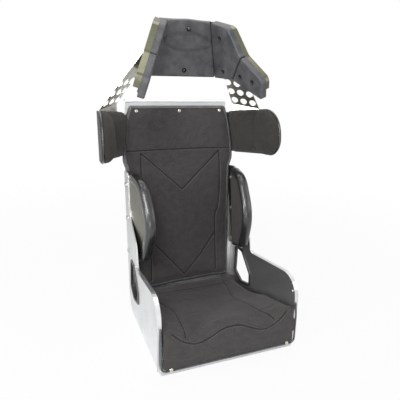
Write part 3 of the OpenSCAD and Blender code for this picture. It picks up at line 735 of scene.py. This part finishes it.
finish = {
    "side": sheetMetal("brightSideSheet", (0.90, 0.905, 0.91), (0.66, 0.67, 0.685), 0.30, 0.16, (0, 0, 90)),
    "pan": sheetMetal("panSheet", (0.82, 0.825, 0.83), (0.6, 0.605, 0.61), 0.34, 0.16),
    "support": sheetMetal("supportSheet", (0.31, 0.31, 0.262), (0.21, 0.21, 0.178), 0.34, 0.2, (0, 90, 0)),
    "head": sheetMetal("headSheet", (0.205, 0.202, 0.142), (0.13, 0.127, 0.088), 0.28, 0.2),
    "bracket": sheetMetal("bracketSheet", (0.80, 0.79, 0.72), (0.58, 0.57, 0.5), 0.3, 0.16, (0, 45, 0)),
    "cloth": coverCloth("charcoalCloth", (0.015, 0.0143, 0.0142), (0.104, 0.097, 0.095)),
    "knit": coverCloth("smoothKnit", (0.018, 0.0172, 0.0158), (0.056, 0.053, 0.048)),
    "vinyl": softSkin("blackVinyl", (0.014, 0.014, 0.015), (0.024, 0.024, 0.025), 0.22, 0.27, 900.0, 0.00012, 1.0),
    # black glossy vinyl for the binding and piping, given a lighter base colour as painted highlight that stands in for
    # the bright reflections along its edges
    "edgeVinyl": softSkin("edgeVinyl", (0.045, 0.046, 0.05), (0.085, 0.087, 0.093), 0.2, 0.32, 900.0, 0.0001, 0.8),
    "satinVinyl": softSkin("satinVinyl", (0.026, 0.026, 0.028), (0.045, 0.045, 0.048), 0.42, 0.52, 800.0, 0.00015, 0.1),
    "pad": softSkin("mouldedPad", (0.062, 0.063, 0.068), (0.12, 0.121, 0.13), 0.33, 0.46, 620.0, 0.00018),
    "rubber": softSkin("trimRubber", (0.016, 0.016, 0.016), (0.034, 0.034, 0.034), 0.3, 0.45, 1200.0, 0.00008, 0.4),
    "steel": plated("zincSteel", (0.68, 0.68, 0.67), (0.45, 0.45, 0.43), 0.28),
    "blackScrew": plated("blackScrew", (0.14, 0.14, 0.145), (0.06, 0.06, 0.062), 0.22),
    "stud": plated("nickelBrass", (0.86, 0.83, 0.72), (0.62, 0.57, 0.42), 0.2),
}


def dress(piece, look):
    piece.data.materials.clear()
    piece.data.materials.append(finish[look])


nodeLooks = {
    "seat_pan": "pan", "back_panel": "pan", "side_panel": "side", "side_panel_rivets": "steel", "belt_trim": "rubber",
    "rib_support": "support", "rib_bolts": "steel", "rib_nuts": "steel", "shoulder_plate": "support",
    "shoulder_bolts": "steel", "shoulder_nuts": "steel", "head_shell": "head", "head_bracket": "bracket",
    "bracket_bolts": "steel", "bracket_nuts": "steel", "head_pad_screws": "blackScrew", "head_pad_nuts": "steel",
    "back_snap_studs": "steel", "seat_snap_studs": "steel",
}
for label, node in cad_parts.items():
    look = nodeLooks.get(label) or nodeLooks.get(label.replace("_left", "").replace("_right", ""))
    if look:
        for slot in node.material_slots:
            slot.material = finish[look]
        if not node.material_slots:
            dress(node, look)


def finishPad(piece, look, replaced=()):
    if look:
        dress(piece, look)
    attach(piece, "root")
    if replaced:
        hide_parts(*replaced)


def finishPair(piece, look, replaced=()):
    # the right-hand piece, then its mirrored copy for the left
    finishPad(piece, look, [node + "_right" for node in replaced])
    other = mirrored(piece, piece.name.replace("Right", "Left"))
    finishPad(other, None, [node + "_left" for node in replaced])
    return other


def edgeDistance(a, b, outline):
    # how far a point lies from a closed flat outline
    return seamDistance(a, b, [np.concatenate([outline, outline[:1]])])[0]


def sewCover(piece, find, seams, depth, facing, clothShift=0):
    # seams pressed into the face of a pad, and the cloth's own coordinates written for its weave
    co = seatPoints(piece)
    a, b, h = find(co)
    n = normalsOf(piece)
    gap, along = seamDistance(a, b, seams)
    face = smooth((n * facing(co)).sum(1), 0.25, 0.6)
    co = co - n * (sewnDepth(gap, along, depth) * face)[:, None]
    putPoints(piece, co)
    writeAttribute(piece, "seam", gap + far * (1 - face), along, 0 * a)
    writeAttribute(piece, "cloth", a + h + clothShift, b + h, 0 * a)


# back pad
print("back pad")
backPad = {
    "half": [(168, 72), (174, 200), (178, 340), (184, 466), (196, 500), (196, 548), (185, 632), (169, 680)],
    "radii": [16, 2, 40, 60, 30, 40, 90, 9],
    "rest": 0.8,
    "binding": 10.5,
    "seamDepth": 3.6,
}
halfPoints = backPad["half"]
backOutline = roundedOutline(
    halfPoints + [(-x, s) for x, s in reversed(halfPoints)], backPad["radii"] + backPad["radii"][::-1], 5)
backSeams = [
    alongCurve([(-190, 534), (-100, 536), (0, 536.5), (100, 536), (190, 534)], 4),
    evenly(np.array([(-141.0, 527), (0, 399), (141, 527)]), 4),
    evenly(np.array([(-119.0, 232), (0, 97), (60, 158), (119, 236)]), 4),
    alongCurve([(-141, 527), (-142, 405), (-133, 330), (-120, 280), (-120, 96)], 4),
    alongCurve([(141, 527), (142, 405), (133, 330), (120, 280), (120, 96)], 4),
]
padFace = spotOn(leaned, 0, -1)


def hangs(x, s):
    # the cover's lower edge drops on one side and rides up a little on the other
    near = smooth(-s, -150, -72)
    return s - near * (7 * smooth(-x, 0, 140) - 3 * smooth(x, 10, 90) * smooth(-x, -165, -120) + 5)


piece = padPiece("backPadCover", padShell(backOutline, 10, 16, backPad["rest"], 3), onBack)


def backHold(co):
    x, s, h = offBack(co)
    return smooth(edgeDistance(x, s, backOutline), 3, 26) * smooth(h, 2, 9)


settlePad(piece, 6, backHold)
subdivide(piece)
co = seatPoints(piece)
x, s, h = offBack(co)
inward = smooth(edgeDistance(x, s, backOutline), 6, 70)
soft = 0.9 * ripple(x, s, 150, 1) + 0.35 * ripple(x, s, 46, 2)
h = np.where(h > 6, h + inward * (2.2 + soft), np.maximum(h, backPad["rest"]))
putPoints(piece, onBack(x, s, h))
sewCover(piece, offBack, backSeams, backPad["seamDepth"], lambda co: padFace)
x, s, h = offBack(seatPoints(piece))
putPoints(piece, onBack(x, hangs(x, s), h))
finishPad(piece, "cloth", ["back_cover", "back_foam"])

w = backPad["binding"]
backEdge = np.array([
    (-w, 14.6), (-w + 0.8, 17.4), (-w + 2.6, 18.8), (-w + 4.2, 17.8), (-w + 5.2, 15.9), (-w + 6.6, 16.6), (-1.8, 16.0),
    (0.6, 12.6), (1.6, 7), (0.9, 2.6), (0, 0.9), (-1.6, 0.7), (-2.2, 3), (-3, 9), (-w, 12.2),
])
piece = ringPiece("backPadBinding", bandAround(backOutline, backEdge), lambda x, s, h: onBack(x, hangs(x, s), h))
subdivide(piece)
finishPad(piece, "edgeVinyl")

# press studs
print("press studs")
stud = {"back": 663, "backX": 147, "backHeight": 17.2, "seatX": 179, "seatY": -398.9, "seatZ": 21}
# radius and height of a pressed cap: flat dished top, rolled rim, foot
capProfile = np.array([
    (0.4, 2.5), (2.2, 2.6), (3.4, 2.95), (4.3, 3.05), (5.0, 2.7), (5.45, 2.0), (5.5, 1.1), (5.2, 0.5), (4.2, 0.2),
    (4.0, -0.6), (2.4, -0.8), (0.4, -0.8),
])
capSpots = [spotOn(onBack, x, stud["back"], stud["backHeight"]) for x in (-stud["backX"], 0, stud["backX"])]
capPlaces = [(point, padFace) for point in capSpots]
piece = lathePieces("backPressStuds", capProfile, capPlaces)
subdivide(piece)
finishPad(piece, "stud", ["back_snap_caps"])
capPlaces = [((x, stud["seatY"], stud["seatZ"]), (0, -1, 0)) for x in (-stud["seatX"], stud["seatX"])]
piece = lathePieces("seatPressStuds", capProfile, capPlaces)
subdivide(piece)
finishPad(piece, "stud", ["seat_snap_caps"])

# seat cushion
print("seat cushion")
cushion = {
    "top": [(-11, 60), (-20, 65), (-34, 65.5), (-54, 60), (-80, 56), (-150, 59), (-220, 74), (-290, 94),
            (-340, 108), (-372, 117), (-387, 119), (-395.5, 113), (-398.2, 100), (-398.4, 80), (-398.2, 50), (-398.2, 15)],
    "under": [(-11, 14), (-20, 9), (-34, 6.5), (-54, 4.6), (-80, 4.2), (-150, 4.2), (-220, 7.4),
              (-290, 42.5), (-340, 68), (-368, 82), (-381, 90), (-388, 93), (-389.8, 86), (-390, 70), (-390, 45), (-390, 15)],
    "flapHalf": 206.0,
    "corner": 15.0,     # radius of the flap's lower corners
    "channel": 22.0,    # how deep the two leg channels are at the front
    "strip": 17.0,      # rise of the side strips against the panels
}


def cushionHalf(y, z):
    # half width: inside the flared panels, then out to the flap's width in front of them
    inside = seat["hip"] / 2 - 2.6 - y * math.tan(flare)
    half = inside + (cushion["flapHalf"] - inside) * smooth(-y, 391, 396.5)
    low = np.clip(15 + cushion["corner"] - z, 0, cushion["corner"])
    return half - (cushion["corner"] - np.sqrt(cushion["corner"] ** 2 - low ** 2)) * (y < -389)


k = np.linspace(0, 1, 90)
lines = (np.array(cushion[label], float) for label in ("top", "under"))
topLine, underLine = (
    np.stack([np.interp(k, np.linspace(0, 1, len(line)), line[:, c]) for c in (0, 1)], -1) for line in lines)
across = np.linspace(-1, 1, 81)
loop = np.concatenate([topLine, underLine[::-1]])
half = cushionHalf(loop[:, 0], loop[:, 1])
x = across[:, None] * half[None]
y = np.broadcast_to(loop[:, 0], x.shape)
z = np.broadcast_to(loop[:, 1], x.shape).copy()


def cushionShape(x, y):
    # leg channels deepening to the front, and side strips rising to the panels
    front = smooth(-y, 230, 392)
    groove = -cushion["channel"] * front * np.exp(-((np.abs(x) - 103) / 40) ** 2)
    strip = cushion["strip"] * smooth(np.abs(x), 138, 196) * (0.4 + 0.6 * smooth(-y, 60, 260))
    return groove + strip


atFront = topLine[:, 0] < -360
onTop = np.concatenate([np.where(atFront, smooth(topLine[:, 1], 96, 112), 1), 0 * underLine[:, 0]])
z += cushionShape(x, y) * onTop[None]
n = len(loop)
faces = gridFaces(len(across), n, False, True).tolist()
m = len(topLine)
i = np.arange(m - 1)
cap = np.stack([i, i + 1, n - 2 - i, n - 1 - i], -1)
faces += cap[:, ::-1].tolist() + (cap + (len(across) - 1) * n).tolist()
piece = makePiece("seatCushionCover", np.stack([x, y, z], -1), faces)


def cushionHold(co):
    x, y, z = co.T
    return smooth(z, 30, 60) * (0.35 + 0.65 * smooth(y, -389, -380)) * smooth(y, -26, -40)


settlePad(piece, 7, cushionHold)
subdivide(piece)
cushionSeams = [
    alongCurve([(131, -46), (132, -81), (118, -140), (108, -197), (114, -254), (124, -330), (136, -392)], 4),
    alongCurve([(-131, -46), (-132, -81), (-118, -140), (-108, -197), (-114, -254), (-124, -330), (-136, -392)], 4),
    alongCurve([(-131, -60), (-60, -62), (0, -63), (60, -62), (131, -60)], 4),
]
frontSeams = [alongCurve(
    [(-203, 152), (-193, 141), (-168, 116), (-147, 97), (-120, 84), (-105, 81), (-85, 84), (-58, 95), (-30, 108),
     (0, 112), (30, 108), (58, 95), (85, 84), (105, 81), (120, 84), (147, 97), (168, 116), (193, 141), (203, 152)], 4)]
co = seatPoints(piece)
nrm = normalsOf(piece)
x, y, z = co.T
top = smooth(nrm[:, 2], 0.35, 0.7) * (z > 30)
front = smooth(-nrm[:, 1], 0.5, 0.8) * (y < -392)
gapTop, alongTop = seamDistance(x, y, cushionSeams)
gapFront, alongFront = seamDistance(x, z, frontSeams)
press = sewnDepth(gapTop, alongTop, 3.4) * top + sewnDepth(gapFront, alongFront, 2.2, puckers=0.7) * front
lift = top * (1.1 * ripple(x, y, 130, 3) + 0.35 * ripple(x, y, 38, 4)) + front * 0.5 * ripple(x, z, 70, 5)
crease = np.exp(-((y + 342 + 0.45 * (np.abs(x) - 148)) / 5) ** 2) * np.exp(-((np.abs(x) - 150) / 26) ** 2)
co = co + nrm * (lift - press - 2.0 * crease * top)[:, None]
putPoints(piece, co)
onFront = front > top
gap = np.where(onFront, gapFront + far * (1 - front), gapTop + far * (1 - top))
along = np.where(onFront, alongFront, alongTop)
writeAttribute(piece, "seam", gap, along, 0 * x)
writeAttribute(piece, "cloth", x + 0.3, np.where(y < -391, z - 491, y), 0 * x)
finishPad(piece, "cloth", ["seat_cover", "seat_foam"])

# piping along the flap's edge: up one side, round the corners and across the bottom
hf, hc = cushion["flapHalf"], cushion["corner"]
turn = np.linspace(0, np.pi / 2, 9)[:, None]
rightSide = np.concatenate([
    np.stack([np.full(14, hf), np.linspace(142, 16 + hc, 14)], -1),
    np.array([hf - hc, 16 + hc]) + hc * np.concatenate([np.cos(turn), -np.sin(turn)], 1),
])
edgeLine = np.concatenate([rightSide, rightSide[::-1] * [-1, 1]])
edgeLine = evenly(edgeLine, 4)
path = np.stack([edgeLine[:, 0], -396.2 + 5.0 * smooth(edgeLine[:, 1], 100, 142), edgeLine[:, 1]], -1)
piece = sweep("seatCushionPiping", path, (0, -1, 0), ovalProfile(2.6, 3.4))
finishPad(piece, "edgeVinyl")

# rib pads
print("rib pads")
ribOutline = roundedOutline(ribShape["outline"], ribShape["radii"], 4)


def ribFacing(co):
    # straight in from the turned plate
    toe = math.radians(ribShape["toe"])
    return spotOn(panelPoint, -np.cos(toe), np.sin(toe)) - spotOn(panelPoint, 0, 0)


def ribHold(co):
    y, s, h = offRib(co)
    return smooth(edgeDistance(y, s, ribOutline), 2, 22) * smooth(h, 6, 14)


piece = padPiece("ribPadCoverRight", padShell(ribOutline, 9, 27.6, 4, 1.5), onRib)
settlePad(piece, 5, ribHold)
subdivide(piece)
co = seatPoints(piece)
y, s, h = offRib(co)
inward = smooth(edgeDistance(y, s, ribOutline), 6, 50)
h = np.where(h > 12, h + inward * (1.6 + 0.8 * ripple(y, s, 110, 6)), np.maximum(h, 3.9))
putPoints(piece, onRib(y, s, h))
sewCover(piece, offRib, [], 0, ribFacing, 900)
finishPair(piece, "knit", ["rib_cover", "rib_foam"])

# vinyl wall round the pad, lapped onto the face inside and onto the bare plate outside
wall = np.array([
    (-13, 28.6), (-12, 30.6), (-9, 31.2), (-5, 30.4), (-0.8, 27), (2.4, 21), (3.8, 14), (3.2, 7), (1.6, 1.6),
    (-0.6, -1.6), (-5, -2.8), (-19.4, -2.8), (-20, -1.5), (-19.4, -0.4), (-4, -0.4), (0.0, 0.4), (0.8, 6),
    (0.6, 14), (-1.5, 22), (-6, 26), (-12, 27.4),
])
frontPart = ribOutline[:, 0] < -69
start = np.flatnonzero(frontPart & ~np.roll(frontPart, 1))[0]
openOutline = np.roll(np.arange(len(ribOutline)), -start)[:frontPart.sum()]
band = bandAround(ribOutline, wall)[openOutline]
piece = ringPiece("ribPadWallRight", band, onRib, False)
subdivide(piece)
finishPair(piece, "vinyl")

# shoulder pads
print("shoulder pads")
shoulderOutline = roundedOutline(shoulderShape["outline"], shoulderShape["radii"], 4)
backHalf = np.array(backPad["half"], float)


def besideBack(co):
    # nothing of a shoulder pad comes over the back pad
    x, s, h = offBack(co)
    x = np.maximum(x, np.interp(s, backHalf[:, 1], backHalf[:, 0]) + 2.2)
    return onBack(x, s, h)


def shoulderFacing(co):
    a, s, h = offShoulder(co)
    inX, inY = (np.interp(a, planAt, planIn[:, c]) for c in (0, 1))
    return leaned(inX, inY, 0 * inX)


def shoulderHold(co):
    a, s, h = offShoulder(co)
    return (0.35 + 0.65 * smooth(edgeDistance(a, s, shoulderOutline), 2, 24)) * smooth(h, 6, 14)


thick = shoulderShape["thick"]
piece = padPiece("shoulderPadCoverRight", padShell(shoulderOutline, 27, thick - 3, 0.6, 2.0, 24), onShoulder)
settlePad(piece, 5, shoulderHold)
subdivide(piece)
co = seatPoints(piece)
a, s, h = offShoulder(co)
nrm = normalsOf(piece)
inward = smooth(edgeDistance(a, s, shoulderOutline), 6, 50) * smooth(h, 18, 28)
fold = 1.6 * np.exp(-((a - 158 - 0.1 * (s - 580)) / 5) ** 2)
co = co + nrm * (inward * (0.6 * ripple(a, s, 120, 8) + 1.0 - fold))[:, None]
putPoints(piece, besideBack(co))
sewCover(piece, offShoulder, [], 0, shoulderFacing, 1800)
finishPair(piece, "knit", ["shoulder_cover", "shoulder_foam"])

# piping where the cover turns round the plate's edge
frontPart = shoulderOutline[:, 0] > 62
start = np.flatnonzero(frontPart & ~np.roll(frontPart, 1))[0]
openOutline = np.roll(np.arange(len(shoulderOutline)), -start)[:frontPart.sum()]
welt = ovalProfile(2.8, 3.3, 12) + [-1.2, -0.9]
band = bandAround(shoulderOutline, welt)[openOutline]
band[..., 2] += 4.0 * (1 - smooth(band[..., 0], 150, 176))
piece = ringPiece("shoulderPadPipingRight", band, onShoulder, False)
finishPair(piece, "vinyl")

# the wing's outside, over the bare plate
a0 = shoulderShape["wrapFrom"]
wingOutline = roundedOutline([(a0, 512.6), (270, 503), (270, 662), (a0, 662)], [3, 55, 84, 3], 2.5)
wing = padShell(wingOutline, 1.4, -3.9, -5.9, -0.2, 14)
piece = padPiece("shoulderWingBackRight", wing, onShoulder)
finishPair(piece, "satinVinyl")

# head pads
print("head pads")
bendTop = (bendLine @ sideU, bendLine @ sideV)
centreHeight = np.linalg.norm(bendLine[1:])
mitre = head["thick"] / math.tan((math.pi - headTurn) / 2) + 0.3
pads = {
    "Centre": dict(
        outline=[(mitre - 127.4, 1.2), (127.4 - mitre, 1.2), (87.4 - mitre, centreHeight + 1.5),
                 (0, centreHeight + 5.5), (mitre - 87.4, centreHeight + 1.5)],
        radii=[5, 5, 6, 150, 6], screws=[(0, 22), (0, centreHeight - 20)], node="head_pad_centre"),
    "Side": dict(
        outline=[(mitre - 3.2, 0.4), (97.6, -4.6), (155.4, 65.4), (121, bendTop[1] - 20),
                 (bendTop[0] + mitre - 3.2, bendTop[1] + 1.5)],
        radii=[5, 5, 6, 30, 5], screws=[(78, bendTop[1] - 47), (64, 21)], node="head_pad_side"),
    "Wing": dict(
        outline=[(100.2, -6), (217, -65), (232, -6), (157.6, 64.4)],
        radii=[5, 8, 27, 6], screws=[(139, 6), (189, -10)], node="head_pad_wing"),
}


def cutHoles(piece, centres, place, radius, bottom):
    # round recesses cut by a many-sided rod
    w = spotOn(place, 0, 0, 1) - spotOn(place, 0, 0)
    rod = np.array([(0.3, bottom), (radius - 0.5, bottom), (radius, bottom + 0.5), (radius, 40), (0.3, 40)])
    rods = lathePieces("rods", rod, [(spotOn(place, a, b), w) for a, b in centres], 40)
    cut = piece.modifiers.new("cut", "BOOLEAN")
    cut.operation = "DIFFERENCE"
    cut.solver = "MANIFOLD"
    cut.object = rods
    bake(piece)
    bpy.data.objects.remove(rods)
    piece.data.set_sharp_from_angle(angle=headEdge)


def headPad(name, pad, place):
    outline = roundedOutline(pad["outline"], pad["radii"], 2)
    piece = padPiece(name, padShell(outline, 5.0, 21.2, 0.2, 0.8, 16), place)
    cutHoles(piece, pad["screws"], place, head["recess"] / 2, 9.8)
    return piece


piece = headPad("headPadCentre", pads["Centre"], onCentre)
finishPad(piece, "pad", [pads["Centre"]["node"]])
for label in ("Side", "Wing"):
    piece = headPad("headPad" + label + "Right", pads[label], onSide)
    other = finishPair(piece, "pad", [pads[label]["node"]])
    other.data.set_sharp_from_angle(angle=headEdge)

# a bare raised oval with a rim, above the middle of the centre pad
k = np.linspace(0, 2 * np.pi, 96, endpoint=False)
oval = np.stack([75 * np.cos(k), 112 + 27 * np.sin(k)], -1)
piece = padPiece("headPadOval", padShell(oval, 1.2, 22.9, 20.4, 0.1, 10), onCentre)
finishPad(piece, "pad")
for name, away in (("headPadOvalRim", 0.6), ("headPadOvalInnerRim", -4.6)):
    ridge = bandAround(oval, ovalProfile(1.3, 1.6, 10) + [away, 23.0])
    finishPad(ringPiece(name, ridge, onCentre), "pad")

# domed buttons over the two screws of the centre pad
dome = np.array([
    (0.3, 27.6), (2.6, 27.2), (4.9, 25.9), (6.6, 23.8), (7.2, 21.6), (6.9, 19.5), (6.6, 13.4), (0.3, 13.4),
])
lowDome = dome * [0.72, 1] - [0, 4]
lowSpot, highSpot = (spotOn(onCentre, *screw) for screw in pads["Centre"]["screws"])
for name, shape, spot in (("headPadButton", dome, highSpot), ("headPadLowButton", lowDome, lowSpot)):
    finishPad(lathePieces(name, shape, [(spot, centreN)]), "blackScrew")

# floor, light and camera
print("stage")
floorMesh = bpy.data.meshes.new("floor")
corners = [(-9, -9, -0.0005), (9, -9, -0.0005), (9, 9, -0.0005), (-9, 9, -0.0005)]
floorMesh.from_pydata(corners, [], [(0, 1, 2, 3)])
floor = bpy.data.objects.new("floor", floorMesh)
scene.collection.objects.link(floor)
floorLook = bpy.data.materials.new("paleFloor")
floorLook.use_nodes = True
tree = floorLook.node_tree
plain = tree.nodes["Principled BSDF"]
plain.inputs["Base Color"].default_value = (0.8, 0.8, 0.8, 1)
plain.inputs["Roughness"].default_value = 0.9
glow = tree.nodes.new("ShaderNodeEmission")
glow.inputs["Color"].default_value = (1, 1, 1, 1)
seen = tree.nodes.new("ShaderNodeLightPath")
shown = tree.nodes.new("ShaderNodeMixShader")
spot = tree.nodes.new("ShaderNodeVectorMath")
spot.operation = "LENGTH"
tree.links.new(tree.nodes.new("ShaderNodeTexCoord").outputs["Object"], spot.inputs[0])
away = rangeNode(tree, spot.outputs["Value"], 0.4, 2.4, 0.9, 1.0)
share = mathNode(tree, "MULTIPLY", seen.outputs["Is Camera Ray"], away)
tree.links.new(share, shown.inputs[0])
tree.links.new(plain.outputs[0], shown.inputs[1])
tree.links.new(glow.outputs[0], shown.inputs[2])
tree.links.new(shown.outputs[0], tree.nodes["Material Output"].inputs["Surface"])
floorMesh.materials.append(floorLook)

world = bpy.data.worlds.new("studio")
scene.world = world
world.use_nodes = True
tree = world.node_tree
back = tree.nodes["Background"]
back.inputs["Color"].default_value = (1, 1, 1, 1)
light = tree.nodes.new("ShaderNodeLightPath")
seen = mathNode(tree, "MAXIMUM", light.outputs["Is Camera Ray"], light.outputs["Is Transmission Ray"])
mirror = mathNode(tree, "MULTIPLY", light.outputs["Is Glossy Ray"], 0.75)
level = mathNode(tree, "MAXIMUM", mathNode(tree, "MAXIMUM", seen, mirror), 0.34)
tree.links.new(level, back.inputs["Strength"])

lamps = {
    # name: place, aim, size, watts
    "key": ((-1.5, -2.4, 2.6), (0, 0, 0.45), 1.3, 62),
    "fill": ((2.6, -1.8, 1.5), (0, 0, 0.45), 2.0, 13),
    "top": ((0.3, 0.6, 3.0), (0, 0, 0.3), 2.2, 24),
    "low": ((-0.7, -2.9, 0.35), (0, 0, 0.75), 0.9, 10),
    "left": ((-2.3, -1.0, 1.0), (0, 0, 0.5), 0.7, 24),
}
for name, (place, aim, size, watts) in lamps.items():
    data = bpy.data.lights.new(name, "AREA")
    data.size = size
    data.energy = watts
    lamp = bpy.data.objects.new(name, data)
    scene.collection.objects.link(lamp)
    way = Vector(place) - Vector(aim)
    lamp.matrix_world = Matrix.Translation(place) @ way.to_track_quat("Z", "Y").to_matrix().to_4x4()

view = {
    "place": (-0.5029, -1.21307, 0.7777), "yaw": 22.41, "pitch": -15.23, "roll": 1.35,
    "lens": 39.73, "shiftY": -0.012,
}
yaw, pitch, roll = (math.radians(view[k]) for k in ("yaw", "pitch", "roll"))
ahead = Vector((math.sin(yaw) * math.cos(pitch), math.cos(yaw) * math.cos(pitch), math.sin(pitch)))
right = Vector((math.cos(yaw), -math.sin(yaw), 0))
up = right.cross(ahead)
rolledRight = right * math.cos(roll) + up * math.sin(roll)
rolledUp = up * math.cos(roll) - right * math.sin(roll)
data = bpy.data.cameras.new("camera")
data.lens = view["lens"]
data.sensor_width = 36
data.shift_y = view["shiftY"]
camera = bpy.data.objects.new("camera", data)
scene.collection.objects.link(camera)
turned = Matrix((rolledRight, rolledUp, -ahead)).transposed().to_4x4()
camera.matrix_world = Matrix.Translation(view["place"]) @ turned
scene.camera = camera
scene.view_settings.view_transform = "Standard"

bpy.context.view_layer.update()
